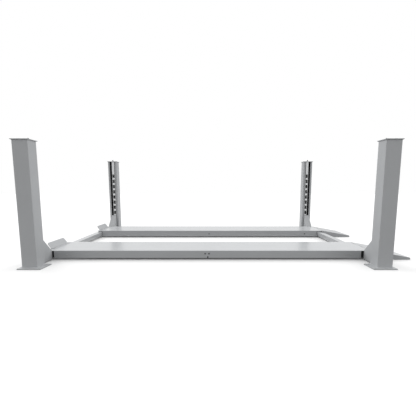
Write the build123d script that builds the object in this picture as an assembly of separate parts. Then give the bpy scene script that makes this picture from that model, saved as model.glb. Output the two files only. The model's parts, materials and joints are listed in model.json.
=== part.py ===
from build123d import *
import math
import os

# Four-post car lift at rest on the floor, in mm.
# X runs along the runways, from the wheel stops (front, -X) to the drive-on ramps (rear, +X).
# Y runs across the lift (the left side is -Y) and Z is up from the floor.

# Overall layout
post_centre_x = 2540.0        # middle of a post, from the middle of the four posts
overall_y = 3000.0            # outer face to outer face of the posts
post_top_z = 1800.0           # underside of the cap plates

# Posts: lipped channels that open towards the middle of the lift
post_x = 220.0
post_y = 160.0
post_wall = 6.0
post_bend = 10.0
post_slot = 126.0             # free width between the lips

# Base and cap plates
base_thick = 15.0
base_outside = 25.0           # beyond the post, away from the lift
base_inside = 90.0            # beyond the post, towards the other end
base_across = 60.0            # beyond the post's outer face
anchor_hole = 20.0
anchor_edge_x = 40.0          # hole centre from the plate's inner end
anchor_edge_y = 30.0          # hole centre from the plate's outer long edge
anchor_pitch_x = 240.0
anchor_pitch_y = 150.0
cap_thick = 10.0
cap_overhang = 11.0

# Lock ladders: slotted flat bars that hang inside the posts
ladder_x = 62.0
ladder_off_x = -13.0          # from the post's middle, towards the other end of the lift
ladder_thick = 10.0
ladder_y = 140.0              # middle of the bar, from the post's outer face
ladder_foot_z = 25.0
window_x = 48.0
window_z = 88.0
window_pitch = 136.0
window_first_z = 208.0
window_count = 10
ladder_tab = 36.0             # length of the tab under the cap plate
ladder_tab_thick = 8.0
ladder_stud_dia = 14.0
ladder_stud_above = 34.0      # above the cap plate
ladder_nut = 22.0             # across flats

# Lifting cables and their studs
cable_dia = 10.0
cable_off_x = 39.0            # from the post's middle, away from the lift
cable_y = 46.0                # from the post's outer face
stud_dia = 18.0
stud_above = 12.0             # above the cap plate
stud_below = 90.0             # below the cap plate, the swaged sleeve
stud_nut = 28.0               # across flats
stud_nut_high = 10.0
stud_hole_play = 1.0          # radial, studs in the cap plate
sheave_pitch_r = 36.0         # to the middle of the cable
sheave_thick = 14.0
sheave_rim = 5.0              # rim beyond the middle of the cable
sheave_bore = 20.0
axle_play = 0.5               # radial, axle to bore
groove_play = 0.4             # radial, cable to groove
sheave_centre_z = 84.0
anchor_y = 820.0              # cable anchors in the left half of a crossbeam, from the middle of the lift
anchor_apart = 160.0
anchor_sheet = 10.0
ferrule_dia = 20.0
ferrule_long = 30.0

# Crossbeams
beam_x = 110.0
beam_bottom_z = 27.0
beam_top_z = 115.0
beam_wall = 6.0
beam_end_y = 18.0             # end of its cheeks, from the post's outer face
beam_notch_y = 150.0          # top and bottom walls stop here, from the post's outer face
seat_inset = 20.0             # seat bars in from the deck's long edges
seat_outer_gap = 15.0         # seat bars in from the crossbeam's outer face
foot_gap = 0.3                # rest feet above the base plates

# Carriage covers between the posts and the runways
cover_top_z = 407.0
cover_flat = 16.0             # level part of its top, beside the post
cover_sheet = 4.0
cover_foot_y = 384.0          # from the post's outer face
cover_foot_z = 152.0
cover_bottom_z = 12.0
cover_start_y = 166.0
cover_gap = 0.3               # cover to crossbeam side

# Slide blocks that run inside the posts
block_gap = 2.0
block_z = 70.0
block_low_z = 70.0            # middle of the lower pair
block_up_z = 335.0            # middle of the upper pair
cheek_top_z = 380.0

# Runways
runway_gap_y = 390.0          # from the post's outer face to the runway
runway_y = 580.0
deck_top_z = 148.0
deck_thick = 5.0
deck_round = 4.0              # radius of the deck's long top edges
deck_front_lap = 105.0        # over the front crossbeam
deck_rear_lap = 112.0         # over the rear crossbeam
rail_front_gap = 28.0         # from an outer rail's end to the front crossbeam
rail_rear_gap = 42.0
rail_inner_gap = 12.0         # from an inner rail's ends to the crossbeams
rail_flange = 50.0
rail_wall = 5.0
rail_bend = 14.0              # outside radius of an outer rail's lower bend
rail_bottom_z = 12.0
ledge_z = 44.0                # top of the jack ledge on the inner rails
ledge_y = 42.0                # its width, towards the middle of the lift
ledge_lip = 22.0              # its turned-down edge
rib_count = 9
rib_x = 60.0
rib_z = 70.0
rib_wall = 4.0

# Wheel stops at the front
stop_sheet = 6.0
stop_foot_x = 55.0
stop_inner_gap = 66.0         # from the deck's inner edge
stop_outer_gap = 104.0        # from its outer edge
stop_high = 92.0
stop_lean = 35.0              # degrees from upright, away from the lift
stop_corner = 30.0
stop_end_gap = 20.0           # from the bend to the deck's front end

# Ramps at the rear
ramp_reach = 630.0            # from the hinge line to the ramp's tip
hinge_pin_dia = 14.0
hinge_barrel_dia = 26.0       # flush with the deck's top
hinge_play = 0.5              # radial, pin to barrel
hinge_gap = 3.0               # between barrels
hinge_lap = 6.0               # barrels into the deck's end
hinge_notch = 6.0             # deck cut back round the ramp's barrels
hinge_count = 5               # barrels on one hinge line
ramp_sheet = 6.0
ramp_nose_r = 18.0
ramp_floor_gap = 0.5
ramp_rib_sheet = 8.0
ramp_rib_count = 4
ramp_heel_gap = 22.0          # rib heels from the hinge line

# What follows from these sizes
half_y = overall_y / 2
base_x = post_x + base_outside + base_inside
beam_inner_x = post_centre_x - beam_x / 2
deck_under_z = deck_top_z - deck_thick
deck_front_x = -(beam_inner_x + deck_front_lap)
deck_rear_x = beam_inner_x + deck_rear_lap
deck_outer_y = half_y - runway_gap_y
deck_inner_y = deck_outer_y - runway_y
hinge_x = deck_rear_x + hinge_barrel_dia / 2 - hinge_lap
hinge_z = deck_top_z - hinge_barrel_dia / 2
sheave_y = cable_y + sheave_pitch_r
ramp_tip_x = hinge_x + ramp_reach
front_edge_x = -(post_centre_x + post_x / 2 + base_outside)
origin_x = (ramp_tip_x + front_edge_x) / 2   # middle of the whole length

ENDS = {"front": -1, "rear": 1}
SIDES = {"left": -1, "right": 1}
CORNERS = {f"{e}_{s}": (sx, sy) for e, sx in ENDS.items() for s, sy in SIDES.items()}

os.makedirs("parts", exist_ok=True)


def save(name, shape):
    """Writes one piece, with the middle of the whole length at the origin."""
    moved = Pos(-origin_x, 0, 0) * shape
    export_step(moved, f"parts/{name}.step")


def at_corner(shape, sx, sy):
    """Carries a piece from the corner's own frame to its post.

    In that frame x points away from the lift, y from the post's outer face to the middle."""
    if sx < 0:
        shape = mirror(shape, Plane.YZ)
    if sy > 0:
        shape = mirror(shape, Plane.XZ)
    return Pos(sx * post_centre_x, sy * half_y, 0) * shape


def block(x0, x1, y0, y1, z0, z1):
    """A plain block between two corners."""
    return Pos((x0 + x1) / 2, (y0 + y1) / 2, (z0 + z1) / 2) * Box(x1 - x0, y1 - y0, z1 - z0)


def round_bar(dia, z0, z1, x=0.0, y=0.0):
    """An upright round bar."""
    return Pos(x, y, (z0 + z1) / 2) * Cylinder(dia / 2, z1 - z0)


def yz_plate(points, x0, x1):
    """A flat plate with its outline in Y and Z, from x0 to x1."""
    face = make_face(Polyline(*[(0, y, z) for y, z in points], close=True))
    return Pos(x0, 0, 0) * extrude(face, amount=x1 - x0, dir=(1, 0, 0))


def xz_plate(points, y0, y1):
    """A flat plate with its outline in X and Z, from y0 to y1."""
    face = make_face(Polyline(*[(x, 0, z) for x, z in points], close=True))
    return Pos(0, y0, 0) * extrude(face, amount=y1 - y0, dir=(0, 1, 0))


def post():
    outer = RectangleRounded(post_x, post_y, post_bend)
    inner = RectangleRounded(post_x - 2 * post_wall, post_y - 2 * post_wall, post_bend - post_wall)
    slot = Pos(0, post_y / 2) * Rectangle(post_slot, 4 * post_wall)
    section = outer - inner - slot
    return Pos(0, post_y / 2, base_thick) * extrude(section, amount=post_top_z - base_thick)


def base_plate():
    x0 = -post_x / 2 - base_inside
    plate = block(x0, x0 + base_x, -base_across, post_y, 0, base_thick)
    hole_x = x0 + anchor_edge_x
    hole_y = -base_across + anchor_edge_y
    for dx in (0, anchor_pitch_x):
        for dy in (0, anchor_pitch_y):
            plate -= round_bar(anchor_hole, -1, base_thick + 1, hole_x + dx, hole_y + dy)
    return plate


def cap_plate():
    plate = block(-post_x / 2 - cap_overhang, post_x / 2 + cap_overhang, -cap_overhang,
                  post_y + cap_overhang, post_top_z, post_top_z + cap_thick)
    for dia, x, y in ((stud_dia, cable_off_x, cable_y), (ladder_stud_dia, ladder_off_x, ladder_y)):
        plate -= round_bar(dia + 2 * stud_hole_play, post_top_z - 1, post_top_z + cap_thick + 1, x, y)
    return plate


def stud_top(dia, above, nut_across, x, y):
    """A stud through the cap plate, with its nut."""
    cap_z = post_top_z + cap_thick
    nut = extrude(RegularPolygon(nut_across / 2, 6, major_radius=False), amount=stud_nut_high)
    return round_bar(dia, post_top_z - 1, cap_z + above, x, y) + Pos(x, y, cap_z) * nut


def lock_ladder():
    x0 = ladder_off_x - ladder_x / 2
    x1 = ladder_off_x + ladder_x / 2
    y0 = ladder_y - ladder_thick / 2
    y1 = ladder_y + ladder_thick / 2
    bar = block(x0, x1, y0, y1, ladder_foot_z, post_top_z)
    bar += block(x0, x1, ladder_y - ladder_tab, ladder_y, post_top_z - ladder_tab_thick, post_top_z)
    for i in range(window_count):
        z = window_first_z + i * window_pitch
        bar -= block(ladder_off_x - window_x / 2, ladder_off_x + window_x / 2, y0 - 1, y1 + 1,
                     z - window_z / 2, z + window_z / 2)
    return bar + stud_top(ladder_stud_dia, ladder_stud_above, ladder_nut, ladder_off_x, ladder_y)


def cable_stud():
    sleeve = round_bar(stud_dia, post_top_z - stud_below, post_top_z, cable_off_x, cable_y)
    return sleeve + stud_top(stud_dia, stud_above, stud_nut, cable_off_x, cable_y)


def lifting_cable():
    return round_bar(cable_dia, sheave_centre_z, post_top_z - stud_below, cable_off_x, cable_y)


def cable_run(end_y):
    """The cable from the sheave to its anchor, end_y from the post's outer face.

    It turns under the sheave and runs along inside the crossbeam to a swaged ferrule."""
    low_z = sheave_centre_z - sheave_pitch_r
    quarter = Plane.YZ * CenterArc((0, 0), sheave_pitch_r, 180, 90)
    path = Pos(cable_off_x, sheave_y, sheave_centre_z) * quarter
    bend = sweep(Plane(path @ 0, z_dir=path % 0) * Circle(cable_dia / 2), path=path)
    reach = end_y - sheave_y
    lie = Rot(90, 0, 0)
    straight = Pos(cable_off_x, sheave_y + reach / 2, low_z) * lie * Cylinder(cable_dia / 2, reach)
    ferrule = Pos(cable_off_x, end_y + ferrule_long / 2, low_z) * lie * Cylinder(ferrule_dia / 2, ferrule_long)
    return bend + straight + ferrule


def cable_runs():
    """Both runs in one crossbeam, as the left and the right post see them."""
    near = half_y - anchor_y - anchor_apart / 2 + anchor_sheet / 2
    far = half_y + anchor_y - anchor_apart / 2 + anchor_sheet / 2
    return {"left": cable_run(near), "right": cable_run(far)}


def crossbeam():
    """Rectangular tube whose side walls run on up into the posts as cheeks.

    It has rest feet, sheave axles, two seat bars under the decks and two cable anchors inside."""
    half = beam_x / 2
    beam = block(-half, half, beam_end_y - half_y, half_y - beam_end_y, beam_bottom_z, beam_top_z)
    beam -= block(-half + beam_wall, half - beam_wall, -half_y, half_y, beam_bottom_z + beam_wall,
                  beam_top_z - beam_wall)
    for side in (-1, 1):
        y0, y1 = sorted((side * (half_y - beam_notch_y), side * half_y))
        beam -= block(-half + beam_wall, half - beam_wall, y0, y1, 0, 2 * beam_top_z)
        c0, c1 = sorted((side * (half_y - beam_end_y), side * (half_y - beam_notch_y)))
        for x in (-half, half - beam_wall):
            beam += block(x, x + beam_wall, c0, c1, base_thick + foot_gap, cheek_top_z)
        axle = Rot(0, 90, 0) * Cylinder(sheave_bore / 2 - axle_play, beam_x)
        beam += Pos(0, side * (half_y - sheave_y), sheave_centre_z) * axle
        s0, s1 = sorted((side * (deck_outer_y - seat_inset), side * (deck_inner_y + seat_inset)))
        beam += block(-half, half - seat_outer_gap, s0, s1, beam_top_z, deck_under_z)
    low_z = sheave_centre_z - sheave_pitch_r
    for dy in (-anchor_apart / 2, anchor_apart / 2):
        y = -anchor_y + dy
        plate = block(-half + beam_wall, half - beam_wall, y - anchor_sheet / 2, y + anchor_sheet / 2,
                      beam_bottom_z + beam_wall, beam_top_z - beam_wall)
        hole = Cylinder(cable_dia / 2 + groove_play, 2 * anchor_sheet)
        beam += plate - Pos(cable_off_x, y, low_z) * Rot(90, 0, 0) * hole
    return beam


def sheave():
    """Grooved wheel, turned about its axle."""
    rim = sheave_pitch_r + sheave_rim
    bore = sheave_bore / 2
    groove_r = cable_dia / 2 + groove_play
    profile = Pos((bore + rim) / 2, 0) * Rectangle(rim - bore, sheave_thick)
    profile -= Pos(sheave_pitch_r, 0) * Circle(groove_r)
    profile -= Pos(sheave_pitch_r + rim / 2, 0) * Rectangle(rim, 2 * groove_r)
    wheel = revolve(Plane.XZ * profile, Axis.Z, 360)
    return Pos(cable_off_x, sheave_y, sheave_centre_z) * Rot(0, 90, 0) * wheel


def slide_blocks():
    """Four nylon blocks on the cheeks at one end of a crossbeam."""
    inner = beam_x / 2
    outer = post_x / 2 - post_wall - block_gap
    y0 = post_wall + block_gap
    y1 = post_y - post_wall - block_gap
    blocks = []
    for z in (block_low_z, block_up_z):
        for x0, x1 in ((-outer, -inner), (inner, outer)):
            blocks.append(block(x0, x1, y0, y1, z - block_z / 2, z + block_z / 2))
    return blocks


def carriage_cover():
    """Folded cover beside the post: two side plates joined by a top that runs level, then slopes down."""
    half = beam_x / 2 + cover_gap
    bend_y = cover_start_y + cover_flat
    fall = (cover_top_z - cover_foot_z) / (cover_foot_y - bend_y)
    drop = cover_sheet * math.hypot(1, fall)
    outside = [(cover_start_y, cover_bottom_z), (cover_foot_y, cover_bottom_z), (cover_foot_y, cover_foot_z),
               (bend_y, cover_top_z), (cover_start_y, cover_top_z)]
    inner_bend_y = bend_y - (drop - cover_sheet) / fall
    inside = [(cover_start_y - 1, cover_bottom_z - 1), (cover_foot_y + 1, cover_bottom_z - 1),
              (cover_foot_y + 1, cover_foot_z - drop - fall), (inner_bend_y, cover_top_z - cover_sheet),
              (cover_start_y - 1, cover_top_z - cover_sheet)]
    return yz_plate(outside, -half - cover_sheet, half + cover_sheet) - yz_plate(inside, -half, half)


def barrel_spans():
    """The Y spans of the hinge barrels, from a runway's inner edge, even ones on the deck."""
    pitch = runway_y / hinge_count
    spans = []
    for i in range(hinge_count):
        spans.append((i * pitch + hinge_gap / 2, (i + 1) * pitch - hinge_gap / 2))
    return spans


def barrels(first):
    """Every second hinge barrel on the left runway, bored for the pin."""
    out = None
    for y0, y1 in barrel_spans()[first::2]:
        tube = Cylinder(hinge_barrel_dia / 2, y1 - y0) - Cylinder(hinge_pin_dia / 2 + hinge_play, y1 - y0)
        tube = Pos(hinge_x, -deck_inner_y - (y0 + y1) / 2, hinge_z) * Rot(90, 0, 0) * tube
        out = tube if out is None else out + tube
    return out


def pin_hole():
    """The bore through the whole hinge line."""
    hole = Cylinder(hinge_pin_dia / 2 + hinge_play, 2 * runway_y)
    return Pos(hinge_x, -(deck_inner_y + deck_outer_y) / 2, hinge_z) * Rot(90, 0, 0) * hole


def deck():
    """Deck plate of the left runway with its hinge barrels."""
    plate = block(deck_front_x, deck_rear_x, -deck_outer_y, -deck_inner_y, deck_under_z, deck_top_z)
    plate = fillet(plate.edges().filter_by(Axis.X).group_by(Axis.Z)[-1], deck_round)
    notch_x = hinge_x - hinge_barrel_dia / 2 - hinge_notch
    for y0, y1 in barrel_spans()[1::2]:
        plate -= block(notch_x, deck_rear_x + 1, -deck_inner_y - y1 - hinge_gap, -deck_inner_y - y0 + hinge_gap,
                       deck_under_z - 1, deck_top_z + 1)
    return plate + barrels(0) - pin_hole()


def long_edge(bar, y, z):
    """The edge of a bar along X that passes through (y, z)."""
    along = bar.edges().filter_by(Axis.X)
    return [edge for edge in along if math.hypot(edge.center().Y - y, edge.center().Z - z) < 0.1]


def outer_rail():
    """Outer side rail of the left runway, a folded angle with its flange below."""
    y = -deck_outer_y
    low = rail_bottom_z + rail_wall
    section = [(y, rail_bottom_z), (y, deck_under_z), (y + rail_wall, deck_under_z), (y + rail_wall, low),
               (y + rail_flange, low), (y + rail_flange, rail_bottom_z)]
    bar = yz_plate(section, rail_front_gap - beam_inner_x, beam_inner_x - rail_rear_gap)
    bar = fillet(long_edge(bar, y, rail_bottom_z), rail_bend)
    return fillet(long_edge(bar, y + rail_wall, low), rail_bend - rail_wall)


def inner_rail():
    """Inner side rail of the left runway, with a jack ledge that has a turned-down edge."""
    y = -deck_inner_y
    edge = y + ledge_y
    low = ledge_z - rail_wall
    lip = ledge_z - ledge_lip
    section = [(y - rail_wall, low), (y - rail_wall, deck_under_z), (y, deck_under_z), (y, ledge_z),
               (edge, ledge_z), (edge, lip), (edge - rail_wall, lip), (edge - rail_wall, low)]
    end = beam_inner_x - rail_inner_gap
    return yz_plate(section, -end, end)


def ribs():
    """Folded channels across the left runway, under its deck."""
    y0 = -deck_outer_y + rail_wall
    y1 = -deck_inner_y - rail_wall
    floor_z = deck_under_z - rib_z
    out = []
    end = beam_inner_x - rail_rear_gap
    pitch = 2 * end / rib_count
    for i in range(rib_count):
        x = -end + (i + 0.5) * pitch
        rib = block(x - rib_x / 2, x + rib_x / 2, y0, y1, floor_z, deck_under_z)
        hollow = rib_x / 2 - rib_wall
        rib -= block(x - hollow, x + hollow, y0, y1, floor_z + rib_wall, deck_under_z)
        out.append(rib)
    return out


def wheel_stop():
    """Bent plate at the front of the left runway: a foot on the deck and a leaning face."""
    bend_x = deck_front_x + stop_end_gap
    y0 = -deck_outer_y + stop_outer_gap
    y1 = -deck_inner_y - stop_inner_gap
    foot = block(bend_x, bend_x + stop_foot_x, y0, y1, deck_top_z, deck_top_z + stop_sheet)
    lean = math.radians(stop_lean)
    length = stop_high / math.cos(lean)
    face = block(0, stop_sheet, y0, y1, 0, length)
    for y in (y0, y1):
        cut = Pos(stop_sheet / 2, y, length) * Rot(45, 0, 0) * Box(2 * stop_sheet, stop_corner, stop_corner)
        face -= cut
    return foot + Pos(bend_x, 0, deck_top_z) * Rot(0, -stop_lean, 0) * face


def ramp():
    """Drive-on ramp of the left runway: barrels, sloping plate, round nose and ribs to the floor."""
    nose_x = ramp_tip_x - ramp_nose_r
    nose_z = ramp_nose_r + ramp_floor_gap
    run = math.hypot(nose_x - hinge_x, nose_z - hinge_z)
    barrel_r = hinge_barrel_dia / 2
    turn = math.atan2(nose_z - hinge_z, nose_x - hinge_x) + math.acos((barrel_r - ramp_nose_r) / run)
    nx, nz = math.cos(turn), math.sin(turn)
    y0, y1 = -deck_outer_y, -deck_inner_y
    top = []
    for x, z, r in ((hinge_x, hinge_z, barrel_r), (nose_x, nose_z, ramp_nose_r),
                    (nose_x, nose_z, ramp_nose_r - ramp_sheet), (hinge_x, hinge_z, barrel_r - ramp_sheet)):
        top.append((x + r * nx, z + r * nz))
    plate = xz_plate(top, y0, y1)
    for b0, b1 in barrel_spans()[0::2]:
        plate -= block(hinge_x - barrel_r, hinge_x + barrel_r + hinge_notch, y1 - b1 - hinge_gap,
                       y1 - b0 + hinge_gap, 0, deck_top_z + 1)
    plate += Pos(nose_x, (y0 + y1) / 2, nose_z) * Rot(90, 0, 0) * Cylinder(ramp_nose_r, y1 - y0)
    heel_x = hinge_x + ramp_heel_gap
    heel_z = top[3][1] + (heel_x - top[3][0]) * (top[2][1] - top[3][1]) / (top[2][0] - top[3][0])
    side = [(heel_x, heel_z + 1), (nose_x, top[2][1] + 1), (nose_x, ramp_floor_gap), (heel_x, ramp_floor_gap)]
    pitch = (y1 - y0 - ramp_rib_sheet) / (ramp_rib_count - 1)
    for i in range(ramp_rib_count):
        y = y0 + i * pitch
        plate += xz_plate(side, y, y + ramp_rib_sheet)
    return plate + barrels(1) - pin_hole()


def hinge_pin():
    """Pin through the left ramp's hinge line."""
    pin = Cylinder(hinge_pin_dia / 2, runway_y)
    return Pos(hinge_x, -(deck_inner_y + deck_outer_y) / 2, hinge_z) * Rot(90, 0, 0) * pin


def both_sides(shape):
    """A piece made for the left side, and its mirror image for the right."""
    return {"left": shape, "right": mirror(shape, Plane.XZ)}


def main():
    corner_pieces = {"post": post(), "base_plate": base_plate(), "cap_plate": cap_plate(),
                     "lock_ladder": lock_ladder(), "lifting_cable": lifting_cable(),
                     "carriage_cover": carriage_cover(), "cable_stud": cable_stud()}
    for corner, (sx, sy) in CORNERS.items():
        for name, shape in corner_pieces.items():
            save(f"{corner}_{name}", at_corner(shape, sx, sy))
    for end, sx in ENDS.items():
        beam = crossbeam()
        if sx < 0:
            beam = mirror(beam, Plane.YZ)
        save(f"{end}_crossbeam", Pos(sx * post_centre_x, 0, 0) * beam)
        wheels = [at_corner(sheave(), sx, sy) for sy in SIDES.values()]
        save(f"{end}_sheaves", Compound(children=wheels))
        pads = [at_corner(piece, sx, sy) for sy in SIDES.values() for piece in slide_blocks()]
        save(f"{end}_slide_blocks", Compound(children=pads))
        runs = [at_corner(cable_runs()[side], sx, sy) for side, sy in SIDES.items()]
        save(f"{end}_cable_runs", Compound(children=runs))
    runway_pieces = {"runway_deck": deck(), "runway_outer_rail": outer_rail(),
                     "runway_inner_rail": inner_rail(), "wheel_stop": wheel_stop(), "ramp": ramp(),
                     "ramp_hinge_pin": hinge_pin()}
    for name, shape in runway_pieces.items():
        for side, piece in both_sides(shape).items():
            save(f"{side}_{name}", piece)
    for side, sy in SIDES.items():
        bars = ribs() if sy < 0 else [mirror(bar, Plane.XZ) for bar in ribs()]
        save(f"{side}_runway_ribs", Compound(children=bars))


main()
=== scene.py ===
import json
import math

import bpy
import numpy as np
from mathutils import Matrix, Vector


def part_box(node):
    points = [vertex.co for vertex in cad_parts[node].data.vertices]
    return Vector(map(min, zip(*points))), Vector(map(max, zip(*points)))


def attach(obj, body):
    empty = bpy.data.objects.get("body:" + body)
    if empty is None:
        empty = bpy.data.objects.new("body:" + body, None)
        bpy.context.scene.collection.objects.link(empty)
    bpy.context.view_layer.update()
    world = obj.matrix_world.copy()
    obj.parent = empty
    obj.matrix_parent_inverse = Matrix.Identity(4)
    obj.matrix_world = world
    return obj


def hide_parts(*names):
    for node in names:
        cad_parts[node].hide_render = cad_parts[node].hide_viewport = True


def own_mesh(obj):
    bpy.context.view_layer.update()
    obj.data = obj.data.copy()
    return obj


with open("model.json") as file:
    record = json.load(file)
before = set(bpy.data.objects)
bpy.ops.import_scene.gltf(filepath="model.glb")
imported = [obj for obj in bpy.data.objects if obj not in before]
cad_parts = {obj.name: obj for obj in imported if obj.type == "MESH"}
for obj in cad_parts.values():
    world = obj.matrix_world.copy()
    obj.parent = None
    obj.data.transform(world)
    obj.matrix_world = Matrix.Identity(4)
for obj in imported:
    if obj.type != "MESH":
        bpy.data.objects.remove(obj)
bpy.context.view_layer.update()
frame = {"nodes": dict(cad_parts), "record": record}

mm = 0.001
# Each corner of the lift, with the sign of the way out along Y
cornerSides = {f"{end}_{side}": outY for end in ("front", "rear")
               for side, outY in (("left", -1), ("right", 1))}
postEdges = [edge[0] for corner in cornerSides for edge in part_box(f"{corner}_post")]
postsMiddleX = sum(postEdges) / len(postEdges)


# sRGB hex to the linear values that the shaders take.
def linearColour(hexText):
    srgb = np.array([int(hexText[i:i + 2], 16) for i in (1, 3, 5)]) / 255
    linear = np.where(srgb <= 0.04045, srgb / 12.92, ((srgb + 0.055) / 1.055) ** 2.4)
    return (*linear.tolist(), 1.0)


def addNode(tree, kind, inputs=None, **settings):
    node = tree.nodes.new(kind)
    for name, value in settings.items():
        setattr(node, name, value)
    for key, value in (inputs or {}).items():
        if isinstance(value, bpy.types.NodeSocket):
            tree.links.new(value, node.inputs[key])
        else:
            node.inputs[key].default_value = value
    return node


# A material with its surface shader, ready for its pattern nodes.
def newMaterial(name):
    material = bpy.data.materials.new(name)
    material.use_nodes = True
    tree = material.node_tree
    tree.nodes.clear()
    shader = addNode(tree, "ShaderNodeBsdfPrincipled")
    addNode(tree, "ShaderNodeOutputMaterial", {"Surface": shader.outputs[0]})
    place = addNode(tree, "ShaderNodeTexCoord").outputs["Object"]
    return material, tree, shader, place


print("materials")

# Powder coat on folded sheet steel: sprayed polyester, baked. It has a satin skin with a fine orange
# peel, a slightly uneven film thickness, and a soft highlight along each folded edge.
coatLook = {"colour": "#AEB0B2", "roughness": 0.42, "deckColour": "#BABCBE", "deckRoughness": 0.24,
            "beamColour": "#B3B5B7", "beamRoughness": 0.26, "ior": 1.5,
            "cloudMm": 420.0, "cloudDetail": 5.0, "cloudFrom": 0.3, "cloudTo": 0.7, "shade": 0.05,
            "glossier": 0.05, "duller": 0.06, "peelMm": 4.0, "peelDetail": 2.0, "peelDepthMm": 0.05,
            "peelStrength": 0.6, "edgeMm": 2.0, "edgeSamples": 4}

# Boxes of painted shade, where the coat is drawn darker to stand in for the shade inside the posts, on the
# crossbeams' inner faces under the decks, along the outer rails' feet, towards the rails' ends and at the
# ramps' noses. Each is read off the photo and repeated at the four corners of the lift, in metres: (middle,
# half size, share of its brightness that the coat keeps, soft share of the half size)
paintedShadeBoxes = {"insidePosts": ((2.54, 1.42, 0.9), (0.107, 0.077, 0.9005), 0.15, 0.001),
             "underDecks": ((2.486, 0.85, 0.07), (0.012, 0.28, 0.08), 0.07, 0.1),
             "railFoot": ((0.0, 1.10, 0.012), (2.49, 0.03, 0.020), 0.38, 0.3),
             "railEnd": ((2.55, 1.10, 0.06), (0.75, 0.03, 0.12), 0.8, 0.9),
             "rampNose": ((3.23, 0.82, 0.0), (0.014, 0.30, 0.026), 0.35, 0.6)}


# 1 inside a box and 0 outside it: the largest part of |(|p| - middle) / half| is 1 at the box's faces,
# and the change from 1 to 0 takes the soft share next to them.
def insideBox(tree, place, middle, half, soft):
    local = place
    for operation, operand in (("SUBTRACT", (postsMiddleX, 0, 0)), ("ABSOLUTE", (0, 0, 0)),
                               ("SUBTRACT", middle), ("ABSOLUTE", (0, 0, 0)), ("DIVIDE", half)):
        local = addNode(tree, "ShaderNodeVectorMath", {0: local, 1: operand}, operation=operation).outputs[0]
    far = addNode(tree, "ShaderNodeSeparateXYZ", {0: local}).outputs
    farthest = addNode(tree, "ShaderNodeMath", {0: far[0], 1: far[1]}, operation="MAXIMUM").outputs[0]
    farthest = addNode(tree, "ShaderNodeMath", {0: farthest, 1: far[2]}, operation="MAXIMUM").outputs[0]
    inside = addNode(tree, "ShaderNodeMapRange", {"Value": farthest, "From Min": 1.0, "From Max": 1.0 - soft})
    return inside.outputs[0]


def powderCoat(name, colour, roughness, paintedShadeBoxNames=()):
    material, tree, shader, place = newMaterial(name)
    cloud = addNode(tree, "ShaderNodeTexNoise", {
        "Vector": place, "Scale": 1000 / coatLook["cloudMm"], "Detail": coatLook["cloudDetail"]})
    level = addNode(tree, "ShaderNodeMapRange", {
        "Value": cloud.outputs["Fac"], "From Min": coatLook["cloudFrom"], "From Max": coatLook["cloudTo"],
        "To Min": 1 - coatLook["shade"], "To Max": 1.0})
    # Painted shade: inside each listed box the coat's colour is darkened to the share it keeps.
    for paintedShadeBoxName in paintedShadeBoxNames:
        middle, half, share, soft = paintedShadeBoxes[paintedShadeBoxName]
        inside = insideBox(tree, place, middle, half, soft)
        paintedShadeFactor = addNode(tree, "ShaderNodeMapRange", {"Value": inside, "To Min": 1.0, "To Max": share})
        level = addNode(tree, "ShaderNodeMath", {0: level.outputs[0], 1: paintedShadeFactor.outputs[0]},
                        operation="MULTIPLY")
    tint = addNode(tree, "ShaderNodeHueSaturation", {
        "Color": linearColour(colour), "Value": level.outputs[0]})
    tree.links.new(tint.outputs[0], shader.inputs["Base Color"])
    gloss = addNode(tree, "ShaderNodeMapRange", {
        "Value": cloud.outputs["Fac"], "To Min": roughness - coatLook["glossier"],
        "To Max": roughness + coatLook["duller"]})
    tree.links.new(gloss.outputs[0], shader.inputs["Roughness"])
    peel = addNode(tree, "ShaderNodeTexNoise", {
        "Vector": place, "Scale": 1000 / coatLook["peelMm"], "Detail": coatLook["peelDetail"]})
    edge = addNode(tree, "ShaderNodeBevel", {"Radius": coatLook["edgeMm"] * mm},
                   samples=coatLook["edgeSamples"])
    bump = addNode(tree, "ShaderNodeBump", {
        "Height": peel.outputs["Fac"], "Normal": edge.outputs[0],
        "Distance": coatLook["peelDepthMm"] * mm, "Strength": coatLook["peelStrength"]})
    tree.links.new(bump.outputs[0], shader.inputs["Normal"])
    shader.inputs["IOR"].default_value = coatLook["ior"]
    return material


# Zinc on steel: bright, slightly milky metal with a fine spangle and a faint uneven grain.
zincLook = {"colour": "#D0D1D2", "dark": "#B4B6B7", "spangleMm": 5.0, "grainMm": 3.2,
            "grainDepthMm": 0.03, "grainStrength": 0.5, "metallic": 0.9, "roughness": 0.38}


def zincPlate(name):
    material, tree, shader, place = newMaterial(name)
    spangle = addNode(tree, "ShaderNodeTexVoronoi", {
        "Vector": place, "Scale": 1000 / zincLook["spangleMm"]})
    ramp = addNode(tree, "ShaderNodeValToRGB", {"Fac": spangle.outputs["Distance"]})
    ramp.color_ramp.elements[0].color = linearColour(zincLook["dark"])
    ramp.color_ramp.elements[1].color = linearColour(zincLook["colour"])
    tree.links.new(ramp.outputs[0], shader.inputs["Base Color"])
    grain = addNode(tree, "ShaderNodeTexNoise", {"Vector": place, "Scale": 1000 / zincLook["grainMm"]})
    bump = addNode(tree, "ShaderNodeBump", {
        "Height": grain.outputs["Fac"], "Distance": zincLook["grainDepthMm"] * mm,
        "Strength": zincLook["grainStrength"]})
    tree.links.new(bump.outputs[0], shader.inputs["Normal"])
    shader.inputs["Metallic"].default_value = zincLook["metallic"]
    shader.inputs["Roughness"].default_value = zincLook["roughness"]
    return material


# Cast nylon, machined: warm off-white, waxy, with faint tool lines. The wave texture draws a line
# every 0.314 / bandScale metres, here every 7.5 mm.
nylonLook = {"colour": "#DDD9CC", "bandScale": 41.667, "waver": 0.4, "darkest": 0.92, "roughness": 0.45}


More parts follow.
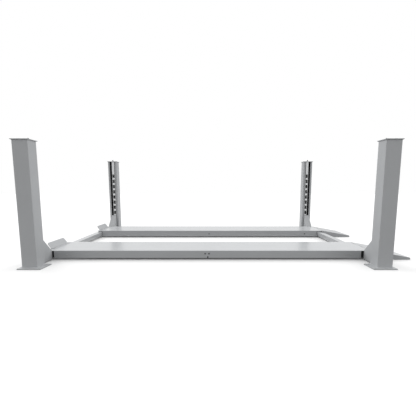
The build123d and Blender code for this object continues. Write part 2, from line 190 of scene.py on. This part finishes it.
def castNylon(name):
    material, tree, shader, place = newMaterial(name)
    lines = addNode(tree, "ShaderNodeTexWave", {
        "Vector": place, "Scale": nylonLook["bandScale"], "Distortion": nylonLook["waver"]},
        bands_direction="Z")
    tone = addNode(tree, "ShaderNodeMapRange", {
        "Value": lines.outputs["Fac"], "To Min": nylonLook["darkest"], "To Max": 1.0})
    tint = addNode(tree, "ShaderNodeHueSaturation", {
        "Color": linearColour(nylonLook["colour"]), "Value": tone.outputs[0]})
    tree.links.new(tint.outputs[0], shader.inputs["Base Color"])
    shader.inputs["Roughness"].default_value = nylonLook["roughness"]
    return material


# Grey iron, machined and oiled: dark, with a fine grain.
ironLook = {"colour": "#55575A", "grainMm": 3.0, "darkest": 0.7, "lightest": 1.15,
            "metallic": 0.8, "roughness": 0.5}
# Black oxide on screws, threads and nuts: dark grey, a little blue, with a dull sheen.
oxideLook = {"colour": "#45474A", "grainMm": 1.5, "darkest": 0.75, "lightest": 1.2,
             "metallic": 0.5, "roughness": 0.42}


def darkMetal(name, look):
    material, tree, shader, place = newMaterial(name)
    grain = addNode(tree, "ShaderNodeTexNoise", {"Vector": place, "Scale": 1000 / look["grainMm"]})
    tone = addNode(tree, "ShaderNodeMapRange", {
        "Value": grain.outputs["Fac"], "To Min": look["darkest"], "To Max": look["lightest"]})
    tint = addNode(tree, "ShaderNodeHueSaturation", {
        "Color": linearColour(look["colour"]), "Value": tone.outputs[0]})
    tree.links.new(tint.outputs[0], shader.inputs["Base Color"])
    shader.inputs["Metallic"].default_value = look["metallic"]
    shader.inputs["Roughness"].default_value = look["roughness"]
    return material


# The coat and the crossbeams' coat carry the boxes of painted shade.
coat = powderCoat("satinPowderCoat", coatLook["colour"], coatLook["roughness"], paintedShadeBoxes)
deckCoat = powderCoat("glossPowderCoatDeck", coatLook["deckColour"], coatLook["deckRoughness"])
beamCoat = powderCoat("glossPowderCoatBeam", coatLook["beamColour"], coatLook["beamRoughness"],
                      ("insidePosts", "underDecks"))
zinc = zincPlate("zincPlatedSteel")
nylon = castNylon("castNylon")
iron = darkMetal("turnedIron", ironLook)
strandWire = zincPlate("galvanisedWire")
blackOxide = darkMetal("blackOxideSteel", oxideLook)
bySlot = {"grey_paint": coat, "zinc_steel": zinc, "wire_rope": strandWire, "cast_iron": iron,
          "nylon": nylon}

slotOf = {part["node"]: part["material_slot"] for part in frame["record"]["subparts"]}
for name, node in frame["nodes"].items():
    finish = bySlot[slotOf[name]]
    if name.endswith("runway_deck"):
        finish = deckCoat
    if name.endswith("crossbeam"):
        finish = beamCoat
    node.data.materials.clear()
    node.data.materials.append(finish)

print("surfaces")


# Quads over a grid whose columns close on themselves, with a lid at each end.
def sweepFaces(rows, columns):
    row = np.arange(rows - 1)[:, None] * columns
    column = np.arange(columns)[None, :]
    beside = (column + 1) % columns
    quads = np.stack([row + column, row + beside, row + columns + beside, row + columns + column], axis=-1)
    first = list(range(columns))[::-1]
    last = list(range((rows - 1) * columns, rows * columns))
    return quads.reshape(-1, 4).tolist() + [first, last]


# One shape set down at each place, with its axes swapped and mirrored on the way.
def copies(shape, places, axes=(0, 1, 2), signs=(1, 1, 1)):
    points, faces = shape
    turned = points[:, axes] * np.array(signs)
    if np.linalg.det(np.eye(3)[:, list(axes)] * np.array(signs)) < 0:
        faces = [face[::-1] for face in faces]
    allPoints = (np.array(places)[:, None, :] + turned[None]).reshape(-1, 3)
    starts = [i * len(points) for i in range(len(places))]
    return allPoints, [[index + start for index in face] for start in starts for face in faces]


# Several shapes as one.
def joined(shapes):
    starts = np.cumsum([0] + [len(points) for points, faces in shapes])
    allFaces = []
    for start, (points, faces) in zip(starts, shapes):
        allFaces += [[index + start for index in face] for face in faces]
    return np.concatenate([points for points, faces in shapes]), allFaces


def addPiece(name, shape, finish, body, sharpDeg=35):
    points, faces = shape
    mesh = bpy.data.meshes.new(name)
    mesh.from_pydata(points.tolist(), [], faces)
    mesh.polygons.foreach_set("use_smooth", np.ones(len(mesh.polygons), bool))
    mesh.set_sharp_from_angle(angle=math.radians(sharpDeg))
    mesh.materials.append(finish)
    mesh.update()
    piece = bpy.data.objects.new(name, mesh)
    bpy.context.scene.collection.objects.link(piece)
    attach(piece, body)
    return piece


# A profile of (radius, height) turned about Z: x = r cos a, y = r sin a, z = h, from the base up and in.
def turnedShape(profile, around=24):
    angle = np.linspace(0, 2 * np.pi, around, endpoint=False)
    radius, height = np.array(profile).T
    ring = np.stack([np.cos(angle), np.sin(angle), np.zeros(around)], axis=-1)
    points = radius[:, None, None] * ring[None] + height[:, None, None] * np.array([0, 0, 1.0])
    return points.reshape(-1, 3), sweepFaces(len(radius), around)


# Lifting ropes, in mm: strands laid round a core
ropeLook = {"dia": 10.0, "strands": 6, "strandDia": 3.5, "coreDia": 4.4, "lay": 64.0, "rowsInLay": 14,
            "strandAround": 8, "coreAround": 12}


# Each strand is a tube along a helix: its middle is (R cos a, R sin a, z) with a = 2 pi z / lay + phase,
# and its section stands square to that line, (cos b) outward + (sin b) across, times the strand's radius.
def twistedRope(foot, length):
    rows = int(length / (ropeLook["lay"] * mm) * ropeLook["rowsInLay"])
    z = np.linspace(0, length, rows)
    b = np.linspace(0, 2 * np.pi, ropeLook["strandAround"], endpoint=False)
    helixR = (ropeLook["dia"] - ropeLook["strandDia"]) / 2 * mm
    rate = 2 * np.pi / (ropeLook["lay"] * mm)
    shapes = []
    for k in range(ropeLook["strands"]):
        a = rate * z + k * 2 * np.pi / ropeLook["strands"]
        outward = np.stack([np.cos(a), np.sin(a), 0 * a], axis=-1)
        along = np.stack([-helixR * rate * np.sin(a), helixR * rate * np.cos(a), np.ones(rows)], axis=-1)
        along /= np.linalg.norm(along, axis=1)[:, None]
        across = np.cross(along, outward)
        middle = helixR * outward + z[:, None] * np.array([0, 0, 1.0])
        section = (np.cos(b)[None, :, None] * outward[:, None]
                   + np.sin(b)[None, :, None] * across[:, None])
        points = middle[:, None] + ropeLook["strandDia"] / 2 * mm * section
        points[..., 2] = np.clip(points[..., 2], 0, length)
        shapes.append((points.reshape(-1, 3), sweepFaces(rows, len(b))))
    coreR = ropeLook["coreDia"] / 2 * mm
    shapes.append(turnedShape([(coreR, 0), (coreR, length)], ropeLook["coreAround"]))
    points, faces = joined(shapes)
    return points + np.array(foot), faces


for corner in cornerSides:
    low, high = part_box(f"{corner}_lifting_cable")
    middleX, middleY = (low[0] + high[0]) / 2, (low[1] + high[1]) / 2
    shape = twistedRope((middleX, middleY, low[2]), high[2] - low[2])
    rope = addPiece(f"{corner}_rope", shape, strandWire, "posts")
    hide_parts(f"{corner}_lifting_cable")
    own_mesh(rope)

print("ropes done")

# Weld beads, in mm; the depth of the ripples and the waver are shares of the size
beadLook = {"size": 6.0, "sink": 1.0, "ripplePitch": 4.5, "rippleDepth": 0.09, "step": 1.6,
            "waver": 0.08, "waverSteps": 24, "arcPoints": 6}


# Along the path the section is a quarter round, outward sin(t) + up cos(t), times a size that swells and
# dips as 1 + depth cos(2 pi (s / pitch - sin(2 t) / 4)), so the ripples curve like the frozen pool.
def weldBead(path, outward, up, seed):
    step = np.linalg.norm(np.diff(path, axis=0), axis=1)
    s = np.concatenate([[0], np.cumsum(step)])
    rows = int(s[-1] / (beadLook["step"] * mm))
    at = np.linspace(0, s[-1], rows)
    place = np.stack([np.interp(at, s, path[:, i]) for i in range(3)], axis=-1)
    out = np.stack([np.interp(at, s, outward[:, i]) for i in range(3)], axis=-1)
    out /= np.linalg.norm(out, axis=1)[:, None]
    draws = np.random.default_rng(seed).uniform(-1, 1, beadLook["waverSteps"])
    slow = np.interp(at, np.linspace(0, s[-1], beadLook["waverSteps"]), 1 + beadLook["waver"] * draws)
    t = np.linspace(0, np.pi / 2, beadLook["arcPoints"])
    bow = np.sin(2 * t)[None]
    wave = np.cos(2 * np.pi * (at[:, None] / (beadLook["ripplePitch"] * mm) - bow / 4))
    size = beadLook["size"] * mm * slow[:, None] * (1 + beadLook["rippleDepth"] * wave * bow)
    up = np.array(up, float)
    direction = np.sin(t)[None, :, None] * out[:, None] + np.cos(t)[None, :, None] * up
    arc = place[:, None] + size[..., None] * direction
    heel = (place - beadLook["sink"] * mm * (out + up))[:, None]
    points = np.concatenate([arc, heel], axis=1)
    faces = sweepFaces(rows, points.shape[1])
    if np.dot(np.cross(out[0], up), path[1] - path[0]) > 0:
        faces = [face[::-1] for face in faces]
    return points.reshape(-1, 3), faces


# A post's section: the radius at its four corners and the gap between its lips
postSection = {"bendMm": 10.0, "gapMm": 126.0, "bendPoints": 7}


# The outline of a post from one lip round its back to the other lip, and the directions out of it.
def postOutline(low, high, z, outY):
    bend, halfGap = postSection["bendMm"] * mm, postSection["gapMm"] * mm / 2
    turn = np.linspace(0, np.pi / 2, postSection["bendPoints"])
    middleX = (low[0] + high[0]) / 2
    points, outs = [[(middleX - halfGap, high[1], z)]], [[(0, 1, 0)]]
    bends = ((low[0], high[1]), (low[0], low[1]), (high[0], low[1]), (high[0], high[1]))
    for quarter, (x, y) in enumerate(bends, 1):
        angle = turn + quarter * np.pi / 2
        out = np.stack([np.cos(angle), np.sin(angle), 0 * angle], axis=-1)
        inX = -1 if x == high[0] else 1
        inY = -1 if y == high[1] else 1
        points.append(np.array([x + inX * bend, y + inY * bend, z]) + bend * out)
        outs.append(out)
    points.append([(middleX + halfGap, high[1], z)])
    outs.append([(0, 1, 0)])
    points, outs = np.concatenate(points), np.concatenate(outs)
    if outY > 0:
        points[:, 1] = low[1] + high[1] - points[:, 1]
        outs[:, 1] *= -1
    return points, outs


postBeads = []
for seed, (corner, outY) in enumerate(cornerSides.items()):
    low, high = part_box(f"{corner}_post")
    for z, up in ((low[2], (0, 0, 1)), (high[2], (0, 0, -1))):
        path, outward = postOutline(low, high, z, outY)
        postBeads.append(weldBead(path, outward, up, seed))
addPiece("post_weld_beads", joined(postBeads), coat, "posts", sharpDeg=60)

stopBeads = []
for seed, side in enumerate(("left", "right"), 10):
    low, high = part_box(f"{side}_wheel_stop")
    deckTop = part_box(f"{side}_runway_deck")[1][2]
    path = np.array([(high[0], low[1], deckTop), (high[0], high[1], deckTop)])
    stopBeads.append(weldBead(path, np.array([(1.0, 0, 0)] * 2), (0, 0, 1), seed))
addPiece("stop_weld_beads", joined(stopBeads), coat, "platform", sharpDeg=60)

print("weld beads done")

# Screws, in mm: round heads with a round socket, each on a washer with a bevelled rim
screwLook = {"headR": 9.0, "headHigh": 5.0, "domePoints": 8, "socketR": 4.0, "socketDeep": 3.0,
             "washerR": 13.0, "washerThick": 2.0, "washerBevel": 0.4}


# The dome is an ellipse, (R cos a, H sin a), that ends at the socket, which drops straight to a flat floor.
def buttonHead():
    a = np.linspace(0, np.arccos(screwLook["socketR"] / screwLook["headR"]), screwLook["domePoints"])
    washerR, thick, bevel = screwLook["washerR"], screwLook["washerThick"], screwLook["washerBevel"]
    domeR, domeZ = screwLook["headR"] * np.cos(a), screwLook["headHigh"] * np.sin(a) + thick
    profile = [(washerR, 0), (washerR, thick - bevel), (washerR - bevel, thick), *zip(domeR, domeZ)]
    profile.append((screwLook["socketR"], domeZ[-1] - screwLook["socketDeep"]))
    return turnedShape(np.array(profile) * mm)


# Screws in the rails as (x from the middle of the posts, z), in mm. They follow specks in the photo,
# but for the painted inner one, which mirrors a dark one.
darkScrews = {"outer": ((-44, 98), (16, 98), (-3, 43)), "inner": ((-14, 75), (2193, 75))}
paintedScrews = {"outer": ((-2253, 80), (-2185, 80), (2203, 80), (2273, 80)), "inner": ((-2193, 75),)}


def railScrews(screws):
    heads = []
    for side, outY in (("left", -1), ("right", 1)):
        deckLow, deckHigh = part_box(f"{side}_runway_deck")
        for rail, sign in (("outer", outY), ("inner", -outY)):
            railY = deckHigh[1] if sign > 0 else deckLow[1]
            places = [(postsMiddleX + x * mm, railY, z * mm) for x, z in screws[rail]]
            heads.append(copies(buttonHead(), places, axes=(0, 2, 1), signs=(1, sign, 1)))
    return joined(heads)


addPiece("rail_screws", railScrews(darkScrews), blackOxide, "platform")
addPiece("painted_rail_screws", railScrews(paintedScrews), coat, "platform")

# Screws in the flange of a wheel stop, in mm: from its rear edge, above the deck, and shares of its width
stopScrews = {"fromEdge": 26.0, "above": 6.0, "shares": (0.15, 0.5, 0.85)}

stopHeads = []
for side in ("left", "right"):
    low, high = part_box(f"{side}_wheel_stop")
    screwX = high[0] - stopScrews["fromEdge"] * mm
    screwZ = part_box(f"{side}_runway_deck")[1][2] + stopScrews["above"] * mm
    places = [(screwX, low[1] + share * (high[1] - low[1]), screwZ) for share in stopScrews["shares"]]
    stopHeads.append(copies(buttonHead(), places))
addPiece("stop_screws", joined(stopHeads), zinc, "platform")

# The ladders' studs, in mm: their place from the cap plate's inner edge, the height of the nut on the
# plate, and the thread above it, which stops short of the stud's top
studLook = {"fromEdge": 31.0, "nutHigh": 10.0, "short": 0.5, "rootR": 7.05, "crestR": 7.9, "pitch": 2.0,
            "rowsInPitch": 6, "around": 20}


# A screw thread: the radius is root + depth times a triangle wave of z / pitch - a / 2 pi.
def threadShape(length):
    rows = int(length / (studLook["pitch"] * mm) * studLook["rowsInPitch"])
    z = np.linspace(0, length, rows)
    a = np.linspace(0, 2 * np.pi, studLook["around"], endpoint=False)
    phase = (z[:, None] / (studLook["pitch"] * mm) - a[None] / (2 * np.pi)) % 1
    depth = studLook["crestR"] - studLook["rootR"]
    radius = (studLook["rootR"] + depth * (1 - np.abs(2 * phase - 1))) * mm
    points = np.stack([radius * np.cos(a), radius * np.sin(a), z[:, None] + 0 * a], axis=-1)
    return points.reshape(-1, 3), sweepFaces(rows, len(a))


# Lock nuts, in mm; the end face is a share of the width, and the rows are shares of the height
lockNut = {"acrossFlats": 27.0, "high": 17.0, "around": 48, "endFace": 0.98,
           "rows": (0, 0.02, 0.06, 0.12, 0.88, 0.94, 0.98, 1)}


# A hexagon whose corners are cut back by a cone at both ends, 30 degrees off flat:
# radius = min(hexagon, cone).
def hexNut():
    high, flat = lockNut["high"] * mm, lockNut["acrossFlats"] / 2 * mm
    angle = np.linspace(0, 2 * np.pi, lockNut["around"], endpoint=False)
    hexagon = flat / np.cos((angle + np.pi / 6) % (np.pi / 3) - np.pi / 6)
    heights = np.array(lockNut["rows"]) * high
    cone = flat * lockNut["endFace"] + np.minimum(heights, high - heights) * math.tan(math.radians(60))
    radius = np.minimum(hexagon[None], cone[:, None])
    z = heights[:, None] + 0 * radius
    points = np.stack([radius * np.cos(angle), radius * np.sin(angle), z], axis=-1)
    return points.reshape(-1, 3), sweepFaces(len(heights), len(angle))


# Washers under the nuts of the ladders' studs and of the cables' studs: profiles of (radius, height) in mm
washerProfiles = {"ladder": ((14, 0), (14, 2.2), (13.5, 2.6), (8, 2.6)),
                  "cable": ((18, 0), (18, 2.6), (17.4, 3), (10, 3))}
ladderWasher = turnedShape(np.array(washerProfiles["ladder"]) * mm, around=28)
cableWasher = turnedShape(np.array(washerProfiles["cable"]) * mm, around=32)

threads, nuts, washers = [], [], []
for corner, outY in cornerSides.items():
    low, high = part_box(f"{corner}_lock_ladder")
    capLow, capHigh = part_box(f"{corner}_cap_plate")
    innerEdge = capHigh[1] if outY < 0 else capLow[1]
    studX, studY = (low[0] + high[0]) / 2, innerEdge + outY * studLook["fromEdge"] * mm
    nutTop = capHigh[2] + studLook["nutHigh"] * mm
    thread = threadShape(high[2] - nutTop - studLook["short"] * mm)
    threads.append(copies(thread, [(studX, studY, nutTop)]))
    nuts.append(copies(hexNut(), [(studX, studY, nutTop)]))
    washers.append(copies(ladderWasher, [(studX, studY, capHigh[2])]))
    low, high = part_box(f"{corner}_cable_stud")
    washers.append(copies(cableWasher, [((low[0] + high[0]) / 2, (low[1] + high[1]) / 2, capHigh[2])]))
addPiece("ladder_stud_threads", joined(threads), blackOxide, "posts")
addPiece("ladder_lock_nuts", joined(nuts), blackOxide, "posts", sharpDeg=30)
addPiece("stud_washers", joined(washers), zinc, "posts")

# The heads of the hinge pins: a profile of (radius, height) in mm, with a bevelled rim
pinHeadProfile = ((11.5, 0), (11.5, 4), (9.5, 6))
pinHead = turnedShape(np.array(pinHeadProfile) * mm, around=28)

pinHeads = []
for side in ("left", "right"):
    low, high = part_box(f"{side}_ramp_hinge_pin")
    middleX, middleZ = (low[0] + high[0]) / 2, (low[2] + high[2]) / 2
    for sign, endY in ((1, high[1]), (-1, low[1])):
        pinHeads.append(copies(pinHead, [(middleX, endY, middleZ)], axes=(0, 2, 1), signs=(1, sign, 1)))
addPiece("hinge_pin_heads", joined(pinHeads), zinc, "platform")

print("screws done")

print("stage, lights and camera")

# The camera was fitted to the photo: its x is from the middle of the four posts, in metres and radians.
view = {"x": 0.0892, "y": -4.6569, "z": 1.1667, "pitch": 0.10013, "focalPx": 227.93,
        "centrePx": (213.55, 209.27), "framePx": 416}
camera = bpy.data.cameras.new("camera")
cameraObject = bpy.data.objects.new("camera", camera)
bpy.context.scene.collection.objects.link(cameraObject)
cameraObject.location = (postsMiddleX + view["x"], view["y"], view["z"])
cameraObject.rotation_euler = (math.pi / 2 - view["pitch"], 0, 0)
camera.sensor_width = 36
camera.lens = view["focalPx"] / view["framePx"] * camera.sensor_width
camera.shift_x = (view["framePx"] / 2 - view["centrePx"][0]) / view["framePx"]
camera.shift_y = (view["centrePx"][1] - view["framePx"] / 2) / view["framePx"]
bpy.context.scene.camera = cameraObject

# A pale sky over a dim ground, which blend at the horizon, and two broad soft suns from the left and right
light = {"sky": 1.0, "ground": 0.13, "horizon": 0.15, "seen": 1.0, "softDeg": 40.0,
         "leftSun": 1.05, "leftTowards": (1, -0.5, -0.6), "rightSun": 0.76, "rightTowards": (-1, -0.5, -0.6)}


# A sun that shines along the given direction.
def addSun(name, strength, towards):
    lamp = bpy.data.lights.new(name, "SUN")
    lamp.energy = strength
    lamp.angle = math.radians(light["softDeg"])
    lampObject = bpy.data.objects.new(name, lamp)
    bpy.context.scene.collection.objects.link(lampObject)
    x, y, z = np.array(towards) / np.linalg.norm(towards)
    lampObject.rotation_euler = (math.acos(-z), 0, math.atan2(x, -y) + math.pi)


addSun("leftSun", light["leftSun"], light["leftTowards"])
addSun("rightSun", light["rightSun"], light["rightTowards"])

# Seen directly, in a mirror or through glass the world is white; as a light it is the sky and the ground.
world = bpy.data.worlds.new("studio")
bpy.context.scene.world = world
world.use_nodes = True
sky = world.node_tree
sky.nodes.clear()
rays = addNode(sky, "ShaderNodeLightPath").outputs
seen = rays["Is Camera Ray"]
for ray in ("Is Glossy Ray", "Is Transmission Ray"):
    seen = addNode(sky, "ShaderNodeMath", {0: seen, 1: rays[ray]}, operation="MAXIMUM").outputs[0]
direction = addNode(sky, "ShaderNodeTexCoord").outputs["Generated"]
upward = addNode(sky, "ShaderNodeSeparateXYZ", {0: direction}).outputs["Z"]
dome = addNode(sky, "ShaderNodeMapRange", {
    "Value": upward, "From Min": -light["horizon"], "From Max": light["horizon"],
    "To Min": light["ground"], "To Max": light["sky"]})
strength = addNode(sky, "ShaderNodeMapRange", {
    "Value": seen, "To Min": dome.outputs[0], "To Max": light["seen"]})
backdrop = addNode(sky, "ShaderNodeBackground", {"Color": (1, 1, 1, 1), "Strength": strength.outputs[0]})
addNode(sky, "ShaderNodeOutputWorld", {"Surface": backdrop.outputs[0]})

# A plain pale floor, just below the base plates so that the two faces don't coincide
floorLook = {"colour": "#F4F4F4", "roughness": 0.9, "halfSize": 30.0, "belowMm": 0.5}
floorMesh = bpy.data.meshes.new("floor")
half, floorZ = floorLook["halfSize"], -floorLook["belowMm"] * mm
floorCorners = [(-half, -half, floorZ), (half, -half, floorZ), (half, half, floorZ), (-half, half, floorZ)]
floorMesh.from_pydata(floorCorners, [], [(0, 1, 2, 3)])
floor = bpy.data.objects.new("floor", floorMesh)
bpy.context.scene.collection.objects.link(floor)
floorMaterial, floorTree, floorShader, floorPlace = newMaterial("paleFloor")
floorShader.inputs["Base Color"].default_value = linearColour(floorLook["colour"])
floorShader.inputs["Roughness"].default_value = floorLook["roughness"]
floorShader.inputs["Specular IOR Level"].default_value = 0.0
floorMesh.materials.append(floorMaterial)
# The object is lit from below by the dim ground, not by the white floor.
floor.visible_diffuse = False

bpy.context.scene.view_settings.view_transform = "Standard"

bpy.context.view_layer.update()
print("done")
